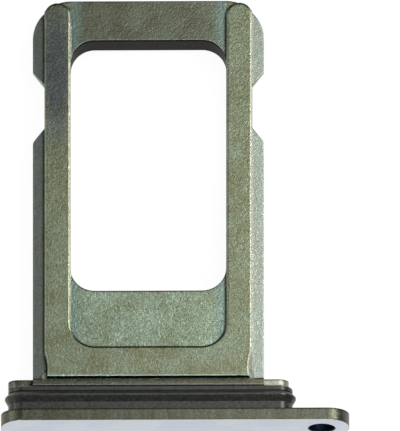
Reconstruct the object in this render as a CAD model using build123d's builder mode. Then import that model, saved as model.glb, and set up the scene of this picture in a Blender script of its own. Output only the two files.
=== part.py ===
from build123d import *
import os

# Card tray of a phone, lying with its card side down. Sizes are in millimetres.
# The origin is the middle of the footprint on the surface that the tray lies on.
# +Y is the way the tray goes into the phone, +X runs along the faceplate towards the
# release hole, and +Z is up.

# Card and its seat, which is open at the lower face
card_width = 8.8
card_length = 12.3
card_thickness = 0.67
card_corner = 0.8
card_corner_cut = 1.65
card_side_clearance = 0.07
card_end_clearance = 0.07
card_sink = 0.05
seat_wall = 0.36
side_ledge = 0.85
near_ledge = 1.33
far_gap = 0.03

# Body, from the neck to the tip
block_length = 1.49
shelf_length = 2.8
crossbar_length = 1.96
window_corner = 1.12
recess_depth = 0.25
recess_corner = 1.15
tip_corner = 1.77
rail_end_gap = 0.13
rail_edge_round = 0.14
lower_edge_break = 0.05
window_edge_break = 0.05

# Scallop in each side of the block, beside the neck
scallop_radius = 2.4
scallop_depth = 0.14
scallop_centre = 0.4
gusset_reach = 0.14

# Guide flanges on both sides, each with one notch that a spring in the phone clicks into
flange_reach = 0.545
flange_thickness = 0.4
flange_slope = 0.08
flange_drop = 0.49
flange_edge_break = 0.05
notch_from_tip = 5.11
notch_floor = 2.05
notch_mouth = 3.47
notch_ear_round = 0.15
notch_heel_round = 0.35
notch_floor_round = 0.1

# Neck between the body and the faceplate, with the groove that holds the seal
neck_reach = 1.15
neck_height = 1.2
neck_corner = 0.59
neck_edge_break = 0.05
neck_to_rails = 0.35
neck_to_lower_face = 0.08
rib_length = 0.37
wing_drop = 0.22
wing_corner = 0.48
groove_length = 1.29
groove_depth = 0.28

# Seal: a flat band with one blunt lip around it and a crease behind the lip
seal_proud = 0.09
seal_shift = 0.09
seal_edge_break = 0.06
lip_height = 0.155
lip_front_start = 0.49
lip_front_run = 0.28
lip_back_run = 0.16
lip_tip_width = 0.08
crease_width = 0.05
crease_depth = 0.05

# Faceplate, which reaches past the neck on every side and has a crown across its outer face
plate_reach_left = 0.335
plate_reach_right = 2.815
plate_reach_high = 0.55
plate_thickness = 0.63
plate_corner = 1.0
plate_crown = 0.06
plate_edge_round = 0.05

# Release hole through the faceplate, for the eject pin
release_hole_radius = 0.6
release_hole_inset = 1.28
release_hole_break = 0.05

# Two places count as one when they are nearer than this
same_place = 0.001

# Widths, from the card outwards
seat_width = card_width + 2 * card_side_clearance
window_width = seat_width - 2 * side_ledge
rail_span = seat_width + 2 * seat_wall
rail_width = (rail_span - window_width) / 2
flange_width = rail_span + 2 * flange_reach
neck_width = flange_width + 2 * neck_reach
groove_width = neck_width - 2 * groove_depth
band_width = neck_width + 2 * seal_proud
crest_width = band_width + 2 * lip_height
plate_length = neck_width + plate_reach_left + plate_reach_right
body_offset = (plate_reach_left - plate_reach_right) / 2
seal_x = body_offset + seal_shift

# Heights above the surface that the tray lies on
plate_height = neck_height + 2 * plate_reach_high
middle_z = plate_height / 2
neck_top_z = middle_z + neck_height / 2
rail_top_z = neck_top_z + neck_to_rails
recess_z = rail_top_z - recess_depth
flange_top_z = rail_top_z - flange_drop
flange_low_z = flange_top_z - flange_thickness
lower_face_z = middle_z - neck_height / 2 - neck_to_lower_face
seat_z = lower_face_z + card_thickness + card_sink
groove_height = neck_height - 2 * groove_depth
band_height = neck_height + 2 * seal_proud
crest_height = band_height + 2 * lip_height
groove_corner = neck_corner - groove_depth
band_corner = neck_corner + seal_proud

# Places along the tray
seat_length = card_length + 2 * card_end_clearance
window_length = seat_length - near_ledge + far_gap + window_corner
body_length = block_length + shelf_length + window_length + crossbar_length
total_length = plate_thickness + groove_length + rib_length + body_length
plate_face_y = -total_length / 2
groove_y = plate_face_y + plate_thickness
lip_front_y = groove_y + lip_front_start
lip_back_y = lip_front_y + lip_front_run + lip_tip_width + lip_back_run
rib_y = groove_y + groove_length
body_y = rib_y + rib_length
recess_y = body_y + block_length
window_low_y = recess_y + shelf_length
window_high_y = window_low_y + window_length
seat_low_y = window_low_y - near_ledge
tip_y = body_y + body_length
rail_end_y = tip_y - rail_end_gap - rail_width / 2

os.makedirs("parts", exist_ok=True)


def across(y, centre_x=body_offset):
    """Plane across the tray at y, through its middle height, with its normal to the front."""
    return Plane((centre_x, y, middle_z), x_dir=(1, 0, 0), z_dir=(0, -1, 0))


def level(z):
    """Plane level with the floor at height z, with its origin on the body's centre line."""
    return Plane((body_offset, 0, z), x_dir=(1, 0, 0), z_dir=(0, 0, 1))


def notch_corners(side):
    """Corners of one flange notch, from its heel round its floor to its ear."""
    notch_y = tip_y - notch_from_tip
    mouth_x = side * flange_width / 2
    floor_x = side * rail_span / 2
    return [
        (mouth_x, notch_y - notch_mouth / 2),
        (floor_x, notch_y - notch_floor / 2),
        (floor_x, notch_y + notch_floor / 2),
        (mouth_x, notch_y + notch_mouth / 2),
    ]


flange_start = (-flange_width / 2, body_y)
flange_end = (flange_width / 2, body_y)
tip_corners = [(-flange_width / 2, tip_y), (flange_width / 2, tip_y)]
flange_corners = notch_corners(-1) + tip_corners + notch_corners(1)[::-1]
notch_rounds = [notch_heel_round, notch_floor_round, notch_floor_round, notch_ear_round]
flange_rounds = notch_rounds + [tip_corner, tip_corner] + notch_rounds[::-1]

# Guide flanges, one plate from the neck round the tip with a notch in each side
with BuildPart() as flanges:
    with BuildSketch(level(flange_low_z)):
        with BuildLine():
            FilletPolyline(flange_start, *flange_corners, flange_end, radius=flange_rounds)
            Line(flange_end, flange_start)
        make_face()
    extrude(amount=flange_thickness)
    flange_faces = flanges.faces().filter_by(Axis.Z)
    flange_rims = flange_faces.edges().filter_by(lambda edge: edge.center().Y > body_y)
    chamfer(flange_rims, flange_edge_break)

    # The upper face falls from the rails to the outer edges
    with BuildSketch(across(tip_y)):
        slope_top = flange_top_z - middle_z
        for side in (-1, 1):
            slope_start = (side * rail_span / 2, slope_top)
            slope_corner = (side * flange_width / 2, slope_top)
            slope_end = (side * flange_width / 2, slope_top - flange_slope)
            with BuildLine():
                Polyline(slope_start, slope_corner, slope_end, close=True)
            make_face()
    extrude(amount=body_length, mode=Mode.SUBTRACT)

with BuildPart() as tray:
    # Core of the body under the rails, with both corners of the tip rounded
    with BuildSketch(level(lower_face_z)) as core:
        with Locations((0, (body_y + tip_y) / 2)):
            Rectangle(flange_width, body_length)
            fillet(core.vertices().group_by(Axis.Y)[-1], tip_corner)
            Rectangle(rail_span, body_length, mode=Mode.INTERSECT)
    extrude(amount=recess_z - lower_face_z)

    # Rails with round ends and the block that joins them beside the neck
    with BuildSketch(level(recess_z)) as rails:
        with Locations((0, body_y + block_length / 2)):
            Rectangle(rail_span, block_length)
        for side in (-1, 1):
            rail_x = side * (window_width + rail_width) / 2
            with Locations((rail_x, (body_y + rail_end_y) / 2)):
                Rectangle(rail_width, rail_end_y - body_y)
            with Locations((rail_x, rail_end_y)):
                Circle(rail_width / 2)
        block_corners = rails.vertices().filter_by(lambda corner: abs(corner.Y - recess_y) < same_place)
        inner_corners = block_corners.filter_by(lambda corner: abs(corner.X) < rail_span / 2 - same_place)
        fillet(inner_corners, recess_corner)
    extrude(amount=recess_depth)

    # Scallops in the block's sides, down to the flanges
    with BuildSketch(level(flange_top_z)):
        scallop_x = rail_span / 2 + scallop_radius - scallop_depth
        scallop_y = body_y + scallop_centre
        with Locations((-scallop_x, scallop_y), (scallop_x, scallop_y)):
            Circle(scallop_radius)
    extrude(amount=rail_top_z - flange_top_z, mode=Mode.SUBTRACT)
    fillet(tray.edges().group_by(Axis.Z)[-1], rail_edge_round)

    # Guide flanges, and the gussets that spread from the scallops to the neck
    add(flanges.part)
    with BuildSketch(level(flange_top_z)):
        gusset_x = rail_span / 2 + gusset_reach
        gusset_foot = scallop_x - scallop_radius
        gusset_rise = gusset_x - gusset_foot
        gusset_radius = (scallop_centre**2 + gusset_rise**2) / (2 * gusset_rise)
        for side in (-1, 1):
            gusset_start = (side * gusset_foot, scallop_y)
            gusset_corner = (side * window_width / 2, body_y)
            gusset_end = (side * gusset_x, body_y)
            with BuildLine():
                RadiusArc(gusset_start, gusset_end, side * gusset_radius)
                Polyline(gusset_end, gusset_corner, gusset_start)
            make_face()
    extrude(amount=neck_top_z - flange_top_z)

    # Window through the body, level with the inner walls of the rails, and its broken rim
    with BuildSketch(level(lower_face_z)):
        with Locations((0, (window_low_y + window_high_y) / 2)):
            RectangleRounded(window_width, window_length, window_corner)
    extrude(amount=rail_top_z - lower_face_z, mode=Mode.SUBTRACT)
    with BuildSketch(level(recess_z)):
        with Locations((0, (window_low_y + window_high_y) / 2)):
            RectangleRounded(window_width, window_length + 2 * window_edge_break, window_corner)
    with BuildSketch(level(recess_z - window_edge_break)):
        with Locations((0, (window_low_y + window_high_y) / 2)):
            RectangleRounded(window_width, window_length, window_corner)
    loft(mode=Mode.SUBTRACT)

    # Broken rim of the lower face
    lower_edges = tray.edges().group_by(Axis.Z)[0]
    chamfer(lower_edges.filter_by(lambda edge: edge.center().Y > body_y + same_place), lower_edge_break)

    # Seat for the card, cut from the lower face, with the card's cut corner left standing
    with BuildSketch(level(lower_face_z)) as seat:
        with Locations((0, seat_low_y + seat_length / 2)):
            Rectangle(seat_width, seat_length)
        far_corners = seat.vertices().group_by(Axis.Y)[-1]
        near_corners = seat.vertices().group_by(Axis.Y)[0].sort_by(Axis.X)
        fillet(far_corners + near_corners[:1], card_corner)
        chamfer(seat.vertices().group_by(Axis.Y)[0].sort_by(Axis.X)[-1], card_corner_cut)
    extrude(amount=seat_z - lower_face_z, mode=Mode.SUBTRACT)

    # Neck: a solid core, and against the body a rib whose wings are lower than its middle
    with BuildSketch(across(groove_y)):
        RectangleRounded(groove_width, groove_height, groove_corner)
    extrude(amount=groove_y - body_y)
    with BuildSketch(across(rib_y)):
        with Locations((0, -wing_drop / 2)):
            RectangleRounded(neck_width, neck_height - wing_drop, wing_corner)
        Rectangle(flange_width, neck_height)
    extrude(amount=-rib_length)
    rib_fronts = tray.faces().filter_by(lambda face: abs(face.center().Y - rib_y) < same_place)
    chamfer(rib_fronts[0].outer_wire().edges(), neck_edge_break)

    # Faceplate, with a crown across its outer face
    with BuildSketch(across(plate_face_y, 0)):
        RectangleRounded(plate_length, plate_height, plate_corner)
    extrude(amount=-plate_thickness)
    with BuildSketch(Plane.YZ.offset(-plate_length / 2)):
        with BuildLine():
            crown_low = (plate_face_y + plate_crown, 0)
            crown_high = (plate_face_y + plate_crown, plate_height)
            ThreePointArc(crown_low, (plate_face_y, middle_z), crown_high)
            crown_front_y = plate_face_y - plate_thickness
            Polyline(crown_high, (crown_front_y, plate_height), (crown_front_y, 0), crown_low)
        make_face()
    extrude(amount=plate_length, mode=Mode.SUBTRACT)
    front_edges = tray.edges().filter_by(lambda edge: edge.center().Y < plate_face_y + plate_crown)
    fillet(front_edges, plate_edge_round)

    # Release hole with a broken rim
    hole_x = plate_length / 2 - release_hole_inset
    with BuildSketch(across(plate_face_y, hole_x)):
        Circle(release_hole_radius)
    extrude(amount=-plate_thickness, mode=Mode.SUBTRACT)
    with BuildSketch(across(plate_face_y, hole_x)):
        Circle(release_hole_radius + release_hole_break)
    with BuildSketch(across(plate_face_y + release_hole_break, hole_x)):
        Circle(release_hole_radius)
    loft(mode=Mode.SUBTRACT)

tray.part.label = "tray"
export_step(tray.part, "parts/tray.step")

with BuildPart() as seal_ring:
    # Band that fills the groove and stands a little proud of the neck
    with BuildSketch(across(groove_y, seal_x)):
        RectangleRounded(band_width, band_height, band_corner)
    extrude(amount=-groove_length)

    # Lip, drawn out from the band to its crest and back
    for lip_y, run in ((lip_front_y, lip_front_run), (lip_back_y, -lip_back_run)):
        with BuildSketch(across(lip_y, seal_x)):
            RectangleRounded(band_width, band_height, band_corner)
        with BuildSketch(across(lip_y + run, seal_x)):
            RectangleRounded(crest_width, crest_height, band_corner + lip_height)
        loft(ruled=True)
    with BuildSketch(across(lip_front_y + lip_front_run, seal_x)):
        RectangleRounded(crest_width, crest_height, band_corner + lip_height)
    extrude(amount=-lip_tip_width)

    # Crease behind the lip
    with BuildSketch(across(lip_back_y, seal_x)):
        RectangleRounded(band_width, band_height, band_corner)
        crease_size = (band_width - 2 * crease_depth, band_height - 2 * crease_depth)
        RectangleRounded(*crease_size, band_corner - crease_depth, mode=Mode.SUBTRACT)
    extrude(amount=-crease_width, mode=Mode.SUBTRACT)

    # Broken outer rims of the band, at both ends of the groove
    band_edges = seal_ring.edges()
    rims = band_edges.group_by(Axis.Y)[0] + band_edges.group_by(Axis.Y)[-1]
    chamfer(rims, seal_edge_break)

    # Opening that the neck passes through
    with BuildSketch(across(groove_y)):
        RectangleRounded(groove_width, groove_height, groove_corner)
    extrude(amount=-groove_length, mode=Mode.SUBTRACT)

seal_ring.part.label = "seal_ring"
export_step(seal_ring.part, "parts/seal_ring.step")
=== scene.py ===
# %% [markdown]
# # A phone's card tray
#
# The tray is a small metal frame, 16 mm wide and 21 mm long, that carries a card into a
# phone. A rubber ring with one lip seals the slot behind the faceplate. The shapes come
# from the construction model, so this lesson gives them their finishes, a floor, light
# and a camera.

import math

import bpy
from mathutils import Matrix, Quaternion, Vector

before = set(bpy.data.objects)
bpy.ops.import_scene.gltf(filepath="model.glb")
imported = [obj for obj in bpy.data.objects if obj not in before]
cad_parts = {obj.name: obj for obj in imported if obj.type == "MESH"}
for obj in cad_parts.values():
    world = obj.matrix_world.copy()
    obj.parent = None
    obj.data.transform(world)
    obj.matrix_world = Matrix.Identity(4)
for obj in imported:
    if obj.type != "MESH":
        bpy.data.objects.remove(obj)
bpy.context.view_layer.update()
MM = 0.001

# %% [markdown]
# ## Colours and nodes
#
# A colour on a screen is stored in sRGB, but light adds up in linear values. One function
# turns a hex colour to linear. A second one adds a shader node, sets it and links it, so
# each material below reads as a short list of nodes. Some sockets of a node share a name,
# so those are given by number.


# %% Turn a hex colour to linear
def linear(hex_colour):
    """Linear RGBA of an sRGB hex colour such as #8A8D7B."""
    channels = [int(hex_colour[i : i + 2], 16) / 255 for i in (1, 3, 5)]
    return [c / 12.92 if c <= 0.04045 else ((c + 0.055) / 1.055) ** 2.4 for c in channels] + [1.0]


print("mid grey #808080 is", round(linear("#808080")[0], 3), "in linear light")


# %% Add a node with its settings and links
def add_node(tree, kind, settings=None, links=None, stops=()):
    """New node with its settings, its links and, for a colour ramp, its stops."""
    node = tree.nodes.new(kind)
    for name, value in (settings or {}).items():
        if isinstance(name, int) or name in node.inputs:
            node.inputs[name].default_value = value
        else:
            setattr(node, name, value)
    for name, source in (links or {}).items():
        tree.links.new(source, node.inputs[name])
    for at, _ in stops[1:-1]:
        node.color_ramp.elements.new(at)
    for number, (at, colour) in enumerate(stops):
        node.color_ramp.elements[number].position = at
        node.color_ramp.elements[number].color = linear(colour)
    return node


MIX_SHARE = 0
MIX_FIRST = 6
MIX_SECOND = 7
MIXED = 2
print("a colour mix takes its colours at sockets", MIX_FIRST, "and", MIX_SECOND)


# %% Start a material
def new_material(name):
    """Material without nodes, and its node tree."""
    material = bpy.data.materials.new(name)
    material.use_nodes = True
    material.node_tree.nodes.clear()
    print("starting", name)
    return material, material.node_tree


# %% [markdown]
# ## The tray's metal
#
# Trays like this are moulded from steel powder and sintered, then blasted with fine glass
# beads and given a thin olive green coating by vapour deposition. The coating is metallic,
# so it has no base colour under a gloss: it tints what it reflects. Sintering leaves soft
# stains that lean to teal or to brown, and blasting leaves a fine grain with pale specks.
# Real dents are about 0.05 mm wide, too fine to show here. A noise pattern could be painted
# as an image, but a procedural one stays sharp from every distance.

# %% Measure the patterns of the blasted metal
BEAD_GRAIN = 0.1 * MM  # twice as coarse as the real dents, so that they show
STAIN = 1.2 * MM
SWIRL = 0.3 * MM
print("in mm: grain", BEAD_GRAIN / MM, "stains", STAIN / MM, "swirls", round(SWIRL / MM, 1))


# %% Tint the stains
def tint_stains(tree, place, brown, teal, squeeze):
    """Colour of the coating with its stains, squeezed by a factor along each axis."""
    squeezed = add_node(
        tree, "ShaderNodeVectorMath", {"operation": "MULTIPLY", 1: squeeze}, {0: place}
    )
    stains = add_node(
        tree,
        "ShaderNodeTexNoise",
        {"Scale": 1 / STAIN, "Detail": 4.0, "Roughness": 0.6, "Distortion": 0.5},
        {"Vector": squeezed.outputs["Vector"]},
    )
    tints = add_node(
        tree,
        "ShaderNodeValToRGB",
        links={"Fac": stains.outputs["Fac"]},
        stops=((0.34, brown), (0.66, teal)),
    )
    return tints.outputs["Color"]


# %% Shade the grain
def shade_grain(tree, place, colour, specks):
    """Colour with its dents and pale specks by their share, and the pattern of the grain."""
    grain = add_node(
        tree,
        "ShaderNodeTexNoise",
        {"Scale": 1 / BEAD_GRAIN, "Detail": 2.0, "Roughness": 0.6, "Distortion": 1.5},
        {"Vector": place},
    )
    shades = add_node(
        tree,
        "ShaderNodeValToRGB",
        links={"Fac": grain.outputs["Fac"]},
        stops=((0.3, "#8A8C87"), (0.5, "#C2C3C0"), (0.68, "#FFFFFF")),
    )
    shaded = add_node(
        tree,
        "ShaderNodeMix",
        {"data_type": "RGBA", "blend_type": "MULTIPLY", MIX_SHARE: specks},
        {MIX_FIRST: colour, MIX_SECOND: shades.outputs["Color"]},
    )
    return shaded.outputs[MIXED], grain.outputs["Fac"]


# %% [markdown]
# ## Painted shade and blue places in the coating
#
# A long dark blue patch towards the left rail's tip is painted shade with a blue cast, where
# the lamps light the rail less. The coating is bluer where it came out thicker, in the recess
# beside both rails. The patch is an ellipsoid: its distance from the middle is measured in
# reaches, so that 1 is its edge. The strips depend only on how far a point lies to the side
# of the body's middle line. Both could be painted, but a distance needs no picture and stays
# in place on every face.

# %% Measure the blue places
BODY_X = -1.24 * MM
SHADE_PATCH_MIDDLE = Vector((-5.5, 7.0, 2.1)) * MM
SHADE_PATCH_REACH = Vector((0.9, 4.4, 0.3)) * MM
STRIP_FROM = 2.95 * MM
STRIP_TO = 3.4 * MM
print("blue patch", round(2 * SHADE_PATCH_REACH.y / MM, 1), "mm long")


# %% Paint the blue shade patch
def paint_shade_patch(tree, place, colour):
    """Colour with the painted shade, a dark blue patch, on the left rail."""
    from_middle = add_node(
        tree, "ShaderNodeVectorMath", {"operation": "SUBTRACT", 1: SHADE_PATCH_MIDDLE}, {0: place}
    )
    in_reaches = add_node(
        tree,
        "ShaderNodeVectorMath",
        {"operation": "DIVIDE", 1: SHADE_PATCH_REACH},
        {0: from_middle.outputs["Vector"]},
    )
    distance = add_node(
        tree, "ShaderNodeVectorMath", {"operation": "LENGTH"}, {0: in_reaches.outputs["Vector"]}
    )
    patch_share = add_node(
        tree,
        "ShaderNodeMapRange",
        {"From Min": 1.1, "From Max": 0.4},
        {"Value": distance.outputs["Value"]},
    )
    # Painted shade: darker and bluer towards the patch's middle.
    patched = add_node(
        tree,
        "ShaderNodeMix",
        {"data_type": "RGBA", "blend_type": "MULTIPLY", MIX_SECOND: linear("#B8B8D7")},
        {MIX_SHARE: patch_share.outputs["Result"], MIX_FIRST: colour},
    )
    return patched.outputs[MIXED]


# %% Tint the blue strips
def tint_blue_strips(tree, place, colour, strips):
    """Colour with the pale blue strips beside the rails, by their share."""
    from_body = add_node(
        tree, "ShaderNodeVectorMath", {"operation": "SUBTRACT", 1: (BODY_X, 0, 0)}, {0: place}
    )
    sideways = add_node(
        tree, "ShaderNodeVectorMath", {"operation": "ABSOLUTE"}, {0: from_body.outputs["Vector"]}
    )
    side = add_node(tree, "ShaderNodeSeparateXYZ", links={"Vector": sideways.outputs["Vector"]})
    strip_share = add_node(
        tree,
        "ShaderNodeMapRange",
        {"From Min": STRIP_FROM, "From Max": STRIP_TO, "To Max": strips},
        {"Value": side.outputs["X"]},
    )
    striped = add_node(
        tree,
        "ShaderNodeMix",
        {"data_type": "RGBA", MIX_SECOND: linear("#84A09C")},
        {MIX_SHARE: strip_share.outputs["Result"], MIX_FIRST: colour},
    )
    return striped.outputs[MIXED]


# %% [markdown]
# ## Edges
#
# Pale lines are painted on the right-hand edges of the rails and flanges, which face the
# lamps on the right: first a brown band of painted shade, then a pale painted highlight.
# Edges that face the faceplate get a pale painted highlight, and edges that face the tip get
# painted shade. Edges could be picked and painted one by one, but a bevel node finds them
# all: near an edge, its normal turns from one face to the other, so each part of that normal
# says which way the edge faces. The pale highlight fades out again where the normal points
# fully to the right, because that is a whole face.

# %% Measure the edges
# The edge colours are painted highlights and painted shade, as wide as this reach.
EDGE_LIGHT_REACH = 0.16 * MM
EDGE_HIGHLIGHT = "#DEE0CE"
EDGE_SHADE = "#4A4C46"
print("edge wear reaches", EDGE_LIGHT_REACH / MM, "mm from an edge")


# %% Paint highlights on the edges that face right and near
def paint_edge_highlights(tree, facing, colour, highlight, near_light):
    """Colour with painted highlights on right edges, brown then pale, and on near edges, by their
    shares.
    """
    # A brown band of painted shade on right edges, and a pale painted highlight on near edges.
    for way, faint, full, share, blend, tint in (
        ("X", 0.03, 0.2, highlight, "MULTIPLY", "#DFD5B4"),
        ("Y", -0.1, -0.3, near_light, "MIX", "#94A89C"),
    ):
        amount = add_node(
            tree,
            "ShaderNodeMapRange",
            {"From Min": faint, "From Max": full, "To Max": share},
            {"Value": facing.outputs[way]},
        )
        tinted = add_node(
            tree,
            "ShaderNodeMix",
            {"data_type": "RGBA", "blend_type": blend, MIX_SECOND: linear(tint)},
            {MIX_SHARE: amount.outputs["Result"], MIX_FIRST: colour},
        )
        colour = tinted.outputs[MIXED]
    # Pale painted highlight on the right edges, kept off whole faces.
    off_faces = add_node(
        tree,
        "ShaderNodeMapRange",
        {"From Min": 0.99, "From Max": 0.9, "To Max": highlight},
        {"Value": facing.outputs["X"]},
    )
    highlight_share = add_node(
        tree,
        "ShaderNodeMapRange",
        {"From Min": 0.35, "From Max": 0.55},
        {"Value": facing.outputs["X"], "To Max": off_faces.outputs["Result"]},
    )
    highlighted = add_node(
        tree,
        "ShaderNodeMix",
        {"data_type": "RGBA", MIX_SECOND: linear(EDGE_HIGHLIGHT)},
        {MIX_SHARE: highlight_share.outputs["Result"], MIX_FIRST: colour},
    )
    return highlighted.outputs[MIXED]


# %% Tint all the edges
def paint_edge_light_and_shade(tree, colour, highlight, near_light, far_edge_shade):
    """Colour with painted highlights on right and near edges and painted shade on far edges, by
    their shares.
    """
    near_edge = add_node(tree, "ShaderNodeBevel", {"samples": 8, "Radius": EDGE_LIGHT_REACH})
    facing = add_node(
        tree, "ShaderNodeSeparateXYZ", links={"Vector": near_edge.outputs["Normal"]}
    )
    colour = paint_edge_highlights(tree, facing, colour, highlight, near_light)
    # Painted shade on the edges that face the tip.
    far_shade_ramp = add_node(
        tree,
        "ShaderNodeValToRGB",
        links={"Fac": facing.outputs["Y"]},
        stops=((0.12, "#FFFFFF"), (0.36, EDGE_SHADE), (0.8, EDGE_SHADE), (0.97, "#FFFFFF")),
    )
    far_shaded = add_node(
        tree,
        "ShaderNodeMix",
        {"data_type": "RGBA", "blend_type": "MULTIPLY", MIX_SHARE: far_edge_shade},
        {MIX_FIRST: colour, MIX_SECOND: far_shade_ramp.outputs["Color"]},
    )
    return far_shaded.outputs[MIXED]


# %% [markdown]
# ## Corners
#
# Painted shade darkens the foot of each wall, on the wall's left, where the wall shades the
# floor beside it from the lamps on the right. An ambient occlusion node finds such places,
# because its normal is tilted to the right, towards the wall.

# %% Measure the corners
# Painted shade reaches this far from a corner.
CORNER_REACH = 0.3 * MM
SHADE_TILT = (0.6, 0, 0)
print("dust reaches", CORNER_REACH / MM, "mm from a corner")


# %% Darken the corners
def paint_corner_shade(tree, colour):
    """Colour with painted shade at the foot of walls that face left."""
    surface = add_node(tree, "ShaderNodeNewGeometry")
    tilted = add_node(
        tree,
        "ShaderNodeVectorMath",
        {"operation": "ADD", 1: SHADE_TILT},
        {0: surface.outputs["Normal"]},
    )
    towards_wall = add_node(
        tree, "ShaderNodeVectorMath", {"operation": "NORMALIZE"}, {0: tilted.outputs["Vector"]}
    )
    corner = add_node(
        tree,
        "ShaderNodeAmbientOcclusion",
        {"samples": 12, "Distance": CORNER_REACH},
        {"Normal": towards_wall.outputs["Vector"]},
    )
    corner_shade = add_node(
        tree,
        "ShaderNodeMapRange",
        {"From Min": 0.45, "From Max": 0.6, "To Min": 0.05},
        {"Value": corner.outputs["AO"]},
    )
    corner_shaded = add_node(
        tree,
        "ShaderNodeMix",
        {"data_type": "RGBA", "blend_type": "MULTIPLY", MIX_SHARE: 1.0},
        {MIX_FIRST: colour, MIX_SECOND: corner_shade.outputs["Result"]},
    )
    return corner_shaded.outputs[MIXED]


# %% [markdown]
# ## Dents and rounded edges
#
# Blasting also roughens the surface and rounds sharp edges a little. Modelling that would
# take millions of facets, so the normals do it: a second bevel node rounds the reflections
# on the edges, and a bump from the grain and from wider swirls breaks them up.

# %% Measure the relief
EDGE_ROUND = 0.025 * MM
DENT_DEPTH = 0.02 * MM
SWIRL_TO_GRAIN = 2.5
print("edges look rounded by", EDGE_ROUND / MM, "mm")


# %% Dent the surface
def dent_surface(tree, place, grain, dents):
    """Normal with rounded edges, and with swirls and grain as deep as their share."""
    swirls = add_node(
        tree,
        "ShaderNodeTexNoise",
        {"Scale": 1 / SWIRL, "Detail": 2.0, "Distortion": 2.5},
        {"Vector": place},
    )
    relief = add_node(
        tree,
        "ShaderNodeMath",
        {"operation": "MULTIPLY_ADD", 1: SWIRL_TO_GRAIN},
        {0: swirls.outputs["Fac"], 2: grain},
    )
    rounded = add_node(tree, "ShaderNodeBevel", {"samples": 6, "Radius": EDGE_ROUND})
    dented = add_node(
        tree,
        "ShaderNodeBump",
        {"Strength": dents, "Distance": DENT_DEPTH},
        {"Height": relief.outputs["Value"], "Normal": rounded.outputs["Normal"]},
    )
    return dented.outputs["Normal"]


# %% [markdown]
# ## Vapour coated steel
#
# The coating takes its tint from its thickness, so it differs from place to place, and one
# function makes every finish of the tray but one. The metal is fully metallic, and its
# roughness is near 0.4, as blasted steel's is. Metal mirrors more at a grazing angle,
# unless its tint for such angles is darker.


# %% Describe vapour coated steel once
def coat_steel(
    name,
    brown,
    teal,
    specks=0.8,
    roughness=0.42,
    highlight=1.0,
    near_light=0.0,
    far_edge_shade=0.9,
    strips=0.0,
    dents=0.5,
    squeeze=(1, 1, 1),
    grazing="#FFFFFF",
):
    """Coated steel: tints of its stains, shares of specks, painted edge highlights and shade,
    strips and dents.
    """
    steel, tree = new_material(name)
    place = add_node(tree, "ShaderNodeTexCoord").outputs["Object"]
    colour = tint_stains(tree, place, brown, teal, squeeze)
    colour = paint_shade_patch(tree, place, colour)
    colour = tint_blue_strips(tree, place, colour, strips)
    colour, grain = shade_grain(tree, place, colour, specks)
    # Painted highlights and shade on the edges, then painted shade in the corners.
    colour = paint_edge_light_and_shade(tree, colour, highlight, near_light, far_edge_shade)
    colour = paint_corner_shade(tree, colour)
    metal = add_node(
        tree,
        "ShaderNodeBsdfPrincipled",
        {"Metallic": 1.0, "Roughness": roughness, "Specular Tint": linear(grazing)},
        {"Base Color": colour, "Normal": dent_surface(tree, place, grain, dents)},
    )
    add_node(tree, "ShaderNodeOutputMaterial", links={"Surface": metal.outputs["BSDF"]})
    print("coated it in", brown, "and", teal)
    return steel


# %% [markdown]
# ## Rails and recess
#
# The rails and the block that joins them are blasted the most. The crossbar and the shelf
# lie in a recess between them. The beads reach the crossbar less, and the shelf took a
# thinner coating. One material with a mask could cover them all, but a finish for each
# place is easier to match to the real tray.

# %% Bead blasted steel, olive
# Blasting makes the rails satin with bright specks, and the coating makes them olive.
rail_steel = coat_steel(
    "sintered steel, bead blasted, olive vapour coating",
    "#7F8368",
    "#8D9883",
    specks=0.65,
    near_light=0.35,
)

# %% Bead blasted steel, brown olive and teal olive
# The crossbar looks browner and smoother, and pale blue beside the rails.
crossbar_steel = coat_steel(
    "sintered steel, bead blasted, brown olive coating",
    "#646354",
    "#717867",
    specks=0.4,
    highlight=0.0,
    near_light=0.5,
    far_edge_shade=0.3,
    strips=0.5,
)
# The shelf looks paler and more teal, with many specks.
shelf_steel = coat_steel(
    "sintered steel, bead blasted, teal olive coating",
    "#8D987F",
    "#9FB29E",
    highlight=0.0,
    strips=0.5,
)

# %% [markdown]
# ## Flanges, neck and faceplate
#
# These parts were tumbled, ground or brushed after sintering, so they are smoother than
# the rails. The top of the neck's right end is painted pale and warm as a glint of the lamp
# on the right. That could be a mask too, but a finish of its own keeps the neck's nodes few.

# %% Tumbled steel, grey green
# Tumbling leaves the flanges even and grey, with soft highlights.
flange_steel = coat_steel(
    "sintered steel, tumbled, grey green coating",
    "#868C82",
    "#86928B",
    specks=0.5,
    roughness=0.36,
    highlight=0.2,
    far_edge_shade=0.5,
    dents=0.25,
)

# %% Ground steel, dark olive, and a painted glint on its end
# Grinding makes the neck darker and a little glossier than the rails.
neck_steel = coat_steel(
    "sintered steel, ground, dark olive vapour coating",
    "#696655",
    "#60675B",
    roughness=0.34,
    highlight=0.0,
    near_light=0.4,
    dents=0.4,
)
# The neck's end is painted warm and pale as a glint, with a wider gleam.
neck_end_glint_steel = coat_steel(
    "sintered steel, ground, painted glint on the end",
    "#A3A190",
    "#B6B7A6",
    specks=0.5,
    roughness=0.46,
    highlight=0.0,
    dents=0.3,
)

# %% Brushed steel, dark olive
# Brushing draws the stains out into short streaks across the faceplate's rim.
plate_steel = coat_steel(
    "sintered steel, brushed across, dark olive vapour coating",
    "#5D5C4C",
    "#676B60",
    specks=0.65,
    roughness=0.34,
    highlight=0.0,
    dents=0.3,
    squeeze=(3, 0.2, 1),
)

# %% [markdown]
# ## Far wall and hole
#
# The wall at the window's far end, the step down to the neck and the release hole are
# painted nearly black as painted shade. Deep shadow alone would leave them grey, because
# the white floor lights them.

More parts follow.
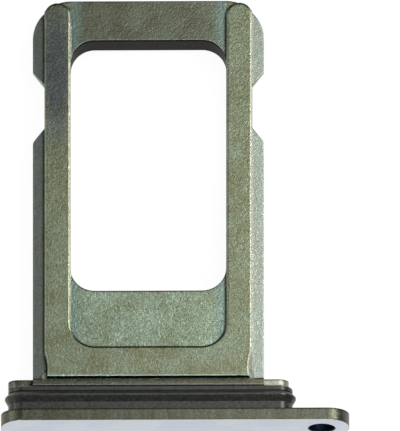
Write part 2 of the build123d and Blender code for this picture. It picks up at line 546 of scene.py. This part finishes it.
# %% Painted shade on the far wall, the step and the hole, nearly black
# Painted shade: the wall and the step are brown black, and a darker grazing tint keeps them dark.
wall_shade_steel = coat_steel(
    "sintered steel, brown black painted shade",
    "#161311",
    "#131316",
    roughness=0.5,
    highlight=0.0,
    far_edge_shade=0.0,
    dents=0.3,
    grazing="#DFDCDB",
)
# Painted shade in the hole, blue black.
hole_shade_steel = coat_steel(
    "sintered steel, blue black painted shade in the hole",
    "#131C27",
    "#1B2B3D",
    roughness=0.5,
    highlight=0.0,
    far_edge_shade=0.0,
    dents=0.3,
)

# %% [markdown]
# ## The faceplate's outer face
#
# Only the outer face of the faceplate shows when the tray is in the phone. It is polished
# and coated in a pale blue grey, so it is brighter and smoother than the rest. It has
# faint stains but no grain, dents or worn edges, so it needs only a few nodes of its own.

# %% Polished steel, pale blue grey
outer_coat, tree = new_material("polished steel, pale vapour coating")
place = add_node(tree, "ShaderNodeTexCoord")
polish = add_node(
    tree,
    "ShaderNodeTexNoise",
    {"Scale": 1 / STAIN, "Detail": 2.0},
    {"Vector": place.outputs["Object"]},
)
polish_tint = add_node(
    tree,
    "ShaderNodeValToRGB",
    links={"Fac": polish.outputs["Fac"]},
    stops=((0.4, "#B9BFC8"), (0.6, "#BFC4CC")),
)
polished = add_node(
    tree,
    "ShaderNodeBsdfPrincipled",
    {"Metallic": 1.0, "Roughness": 0.22},
    {"Base Color": polish_tint.outputs["Color"]},
)
add_node(tree, "ShaderNodeOutputMaterial", links={"Surface": polished.outputs["BSDF"]})
print("made", outer_coat.name)

# %% [markdown]
# ## The seal's rubber
#
# The ring is moulded silicone rubber, dark grey and satin. Rubber is not a metal: it has a
# base colour and a weak gloss of IOR 1.4. Moulding leaves it nearly smooth. Dust and
# handling leave faint pale marks on it, and its corners get painted shade.

# %% Grain of the rubber
RUBBER_GRAIN = 0.12 * MM  # coarser than real dust, so that it shows
silicone, tree = new_material("silicone rubber, moulded, dark grey")
place = add_node(tree, "ShaderNodeTexCoord")
rubber_noise = add_node(
    tree,
    "ShaderNodeTexNoise",
    {"Scale": 1 / RUBBER_GRAIN, "Detail": 3.0, "Roughness": 0.6},
    {"Vector": place.outputs["Object"]},
)
rubber_tint = add_node(
    tree,
    "ShaderNodeValToRGB",
    links={"Fac": rubber_noise.outputs["Fac"]},
    stops=((0.35, "#1E1F1C"), (0.7, "#3B3D37")),
)
print("rubber grain drawn at", RUBBER_GRAIN / MM, "mm")

# %% Painted shade in the corners, and gloss of the rubber
# Painted shade: ambient occlusion darkens the rubber in its corners and where it meets the neck and
# the faceplate.
rubber_occlusion = add_node(
    tree, "ShaderNodeAmbientOcclusion", {"samples": 8, "Distance": CORNER_REACH}
)
rubber_corner_shade = add_node(
    tree,
    "ShaderNodeMapRange",
    {"From Min": 0.6, "From Max": 0.85, "To Min": 0.1, "To Max": 1.0},
    {"Value": rubber_occlusion.outputs["AO"]},
)
rubber_shade = add_node(
    tree,
    "ShaderNodeMix",
    {"data_type": "RGBA", "blend_type": "MULTIPLY", MIX_SHARE: 1.0},
    {MIX_FIRST: rubber_tint.outputs["Color"], MIX_SECOND: rubber_corner_shade.outputs["Result"]},
)
rubber_bump = add_node(
    tree,
    "ShaderNodeBump",
    {"Strength": 0.2, "Distance": 0.01 * MM},
    {"Height": rubber_noise.outputs["Fac"]},
)
rubber = add_node(
    tree,
    "ShaderNodeBsdfPrincipled",
    {"Roughness": 0.3, "IOR": 1.4},
    {"Base Color": rubber_shade.outputs[MIXED], "Normal": rubber_bump.outputs["Normal"]},
)
add_node(tree, "ShaderNodeOutputMaterial", links={"Surface": rubber.outputs["BSDF"]})
print("made", silicone.name)

# %% [markdown]
# ## Put the finishes on the pieces
#
# The seal takes one material. The tray takes ten, and each facet is sorted by where it
# is and which way it faces. Painting them by hand would be lost when the construction
# model changes. The rails and the window are measured from the middle of the body, and
# all else from the middle of the part.

# %% Name the places on the tray
RAIL_OUTER_X = 4.83 * MM
WINDOW_X = 3.62 * MM
WINDOW_Y = (-3.82 * MM, 8.44 * MM)
SHELF_Y = -6.62 * MM
BLOCK_BACK_Y = -8.11 * MM
NECK_TOP_Z = 1.75 * MM
NECK_END_X = 4.25 * MM
SCALLOP_DEPTH = 0.14 * MM
RECESS_Z = 1.85 * MM
PLATE_BACK_Y = -9.77 * MM
OUTER_FACE_Y = -10.28 * MM
HOLE_X = 6.82 * MM
HOLE_Z = 1.15 * MM
HOLE_REACH = 0.62 * MM
HAIR = 0.03 * MM  # slack for facets that lie on a border
print("rails reach", RAIL_OUTER_X / MM, "mm from the middle of the body")


# %% Name how facets face
# Each number is a part of a normal: 1 faces straight along its axis, and 0 lies across it.
HOLE_WALL_FACES = 0.9
OUTER_FACES = -0.8
NECK_TOP_FACES = 0.1
BLOCK_BACK_FACES = -0.7
FAR_WALL_FACES = -0.1
UNDERSIDE_FACES = -0.5
RECESS_FACES = 0.8
print("the recess takes facets within", round(math.degrees(math.acos(RECESS_FACES))), "degrees")


# %% Sort a facet of the neck and the faceplate
def finish_near(spot, normal):
    """Name of the finish of one facet at the near end, or None for a facet of the body."""
    from_hole = math.hypot(spot.x - HOLE_X, spot.z - HOLE_Z)
    if from_hole < HOLE_REACH and abs(normal.y) < HOLE_WALL_FACES:
        return "hole"
    if spot.y < OUTER_FACE_Y and normal.y < OUTER_FACES:
        return "outer face"
    if spot.y < PLATE_BACK_Y + HAIR:
        return "plate"
    if spot.y < BLOCK_BACK_Y - HAIR / 3:
        # The top of the neck's right end takes the painted glint.
        on_end = spot.x > NECK_END_X and normal.z > NECK_TOP_FACES
        return "neck end glint" if on_end else "neck"
    if spot.y < BLOCK_BACK_Y + HAIR and normal.y < BLOCK_BACK_FACES:
        return "wall" if spot.z > NECK_TOP_Z else "neck"
    return None


# %% Sort a facet of the body
def finish_on_body(spot, normal):
    """Name of the finish of one facet of the rails, the flanges and what lies between."""
    side = abs(spot.x - BODY_X)
    in_window = WINDOW_Y[0] - 2 * HAIR < spot.y < WINDOW_Y[1] + 2 * HAIR
    if side < WINDOW_X + HAIR and in_window and normal.y < FAR_WALL_FACES:
        return "wall"
    beside_rails = side > RAIL_OUTER_X - SCALLOP_DEPTH and spot.z < NECK_TOP_Z + HAIR
    if beside_rails and normal.z > UNDERSIDE_FACES:
        return "flange"
    if side < WINDOW_X and spot.z < RECESS_Z + HAIR and normal.z > RECESS_FACES:
        if SHELF_Y < spot.y < WINDOW_Y[0]:
            return "shelf"
        if spot.y > WINDOW_Y[1]:
            return "crossbar"
    return "rail"


# %% Dress the tray and the seal
finishes = {
    "rail": rail_steel,
    "crossbar": crossbar_steel,
    "shelf": shelf_steel,
    "flange": flange_steel,
    "neck": neck_steel,
    # The neck end takes a painted glint.
    "neck end glint": neck_end_glint_steel,
    "plate": plate_steel,
    # The wall and the hole take painted shade.
    "wall": wall_shade_steel,
    "hole": hole_shade_steel,
    "outer face": outer_coat,
}
tray = bpy.data.objects["tray"]
seal_ring = bpy.data.objects["seal_ring"]
seal_ring.data.materials.clear()
seal_ring.data.materials.append(silicone)
tray.data.materials.clear()
for finish in finishes.values():
    tray.data.materials.append(finish)

slots = list(finishes)
counts = dict.fromkeys(slots, 0)
for face in tray.data.polygons:
    finish_name = finish_near(face.center, face.normal) or finish_on_body(face.center, face.normal)
    face.material_index = slots.index(finish_name)
    counts[finish_name] += 1
print("facets by finish:", counts)

# %% [markdown]
# ## Floor and background
#
# A product picture has a white ground. The floor is a plain matt sheet. For the camera and
# for what metal or glass shows of it, it also glows, which lifts it to white and leaves
# the shadow under the tray faint but visible. Stronger lamps could make it white too, but
# they would turn the metal pale.

# %% Mix the floor's paper
GLOW_STRENGTH = 1.08
GLOW_SHARE = 0.85
floor_paint, tree = new_material("matt white paper")
paper = add_node(tree, "ShaderNodeBsdfDiffuse", {"Color": linear("#E8E8E8")})
glow = add_node(
    tree, "ShaderNodeEmission", {"Color": linear("#FFFFFF"), "Strength": GLOW_STRENGTH}
)
ray = add_node(tree, "ShaderNodeLightPath")
mirror_ray = add_node(
    tree,
    "ShaderNodeMath",
    {"operation": "MAXIMUM"},
    {0: ray.outputs["Is Glossy Ray"], 1: ray.outputs["Is Transmission Ray"]},
)
seen = add_node(
    tree,
    "ShaderNodeMath",
    {"operation": "MAXIMUM"},
    {0: ray.outputs["Is Camera Ray"], 1: mirror_ray.outputs["Value"]},
)
share = add_node(
    tree, "ShaderNodeMath", {"operation": "MULTIPLY", 1: GLOW_SHARE}, {0: seen.outputs["Value"]}
)
floor_mix = add_node(
    tree,
    "ShaderNodeMixShader",
    links={0: share.outputs["Value"], 1: paper.outputs["BSDF"], 2: glow.outputs["Emission"]},
)
add_node(tree, "ShaderNodeOutputMaterial", links={"Surface": floor_mix.outputs["Shader"]})
print("made", floor_paint.name)

# %% Lay the floor
FLOOR_SIZE = 4.0
bpy.ops.mesh.primitive_plane_add(size=FLOOR_SIZE)
floor = bpy.context.object
floor.name = "floor"
floor.data.materials.append(floor_paint)
print("floor", FLOOR_SIZE, "m wide")

# %% Make a dim room
ROOM_STRENGTH = 0.1
world = bpy.data.worlds.new("studio")
bpy.context.scene.world = world
world.use_nodes = True
tree = world.node_tree
tree.nodes.clear()
room = add_node(
    tree, "ShaderNodeBackground", {"Color": linear("#FFFFFF"), "Strength": ROOM_STRENGTH}
)
add_node(tree, "ShaderNodeOutputWorld", links={"Surface": room.outputs["Background"]})
print("room light", ROOM_STRENGTH)

# %% [markdown]
# ## Light
#
# Metal shows what it reflects, so the lamps are large soft panels close above the tray. Two
# hang over it and light the rails, the shelf and the neck. Two more hang on the right, and
# the one beside the window is the strongest: it lights the right-hand flange, which slopes
# towards it, and draws pale lines along the edges that face it. A strip on the left does
# the same, more weakly, for the left-hand flange. Two low strips, on the left and in front,
# show only in the rounded edges that face them.


# %% Hang the lamps
def hang_panel(name, place_mm, aim_mm, size_mm, watts):
    """Soft panel of size_mm at place_mm that faces aim_mm."""
    lamp = bpy.data.lights.new(name, "AREA")
    lamp.shape = "RECTANGLE"
    lamp.size = size_mm[0] * MM
    lamp.size_y = size_mm[1] * MM
    lamp.energy = watts
    panel = bpy.data.objects.new(name, lamp)
    bpy.context.collection.objects.link(panel)
    panel.location = Vector(place_mm) * MM
    direction = Vector(aim_mm) - Vector(place_mm)
    panel.rotation_euler = direction.to_track_quat("-Z", "Y").to_euler()
    print(name, "hangs", round(direction.length), "mm from its aim")


hang_panel("middle top panel", (4, 10, 36), (4, 10, 0), (24, 24), 0.0031)
hang_panel("front top panel", (10, -12, 36), (10, -12, 0), (20, 24), 0.0035)
hang_panel("rear right panel", (18, 30, 36), (18, 30, 0), (20, 24), 0.0031)
hang_panel("right panel", (32, 10, 36), (32, 10, 0), (20, 24), 0.0172)
hang_panel("left strip", (-32, 0, 33), (0, 0, 1), (60, 12), 0.0039)
hang_panel("low left strip", (-42, 0, 16), (0, 0, 1), (60, 12), 0.0072)
hang_panel("low front strip", (0, -46, 14), (0, 0, 1), (50, 12), 0.014)

# %% [markdown]
# ## Camera
#
# The picture was taken from far away, so lines that are parallel on the tray stay nearly
# parallel in it. A camera without perspective shows the same. It looks along the tray from
# 71 degrees above the floor. It stands two degrees to the right and is rolled by about as
# much, which lifts the right end of the faceplate a little and keeps the rails upright.

# %% Set up the camera
CAMERA_RISE = 71.0
CAMERA_TURN = 1.8
CAMERA_ROLL = 1.9
CAMERA_DISTANCE = 0.3
PICTURE_HEIGHT = 431
PIXELS_PER_MM = 21.5
VIEW_HEIGHT = PICTURE_HEIGHT / PIXELS_PER_MM * MM
aim = Vector((1.156, 0.09, 1.15)) * MM
camera_data = bpy.data.cameras.new("product camera")
camera_data.type = "ORTHO"
camera_data.ortho_scale = VIEW_HEIGHT
camera_data.clip_start = 0.01
camera_data.clip_end = 10
camera = bpy.data.objects.new("product camera", camera_data)
bpy.context.collection.objects.link(camera)
rise = math.radians(CAMERA_RISE)
turn = math.radians(CAMERA_TURN)
back = Vector(
    (math.sin(turn) * math.cos(rise), -math.cos(turn) * math.cos(rise), math.sin(rise))
)
camera.location = aim + back * CAMERA_DISTANCE
camera.rotation_mode = "QUATERNION"
level = (-back).to_track_quat("-Z", "Y")
camera.rotation_quaternion = level @ Quaternion((0, 0, 1), math.radians(-CAMERA_ROLL))
bpy.context.scene.camera = camera
bpy.context.scene.view_settings.view_transform = "Standard"
print("camera", CAMERA_RISE, "degrees above the floor, view", round(VIEW_HEIGHT / MM, 2), "mm high")
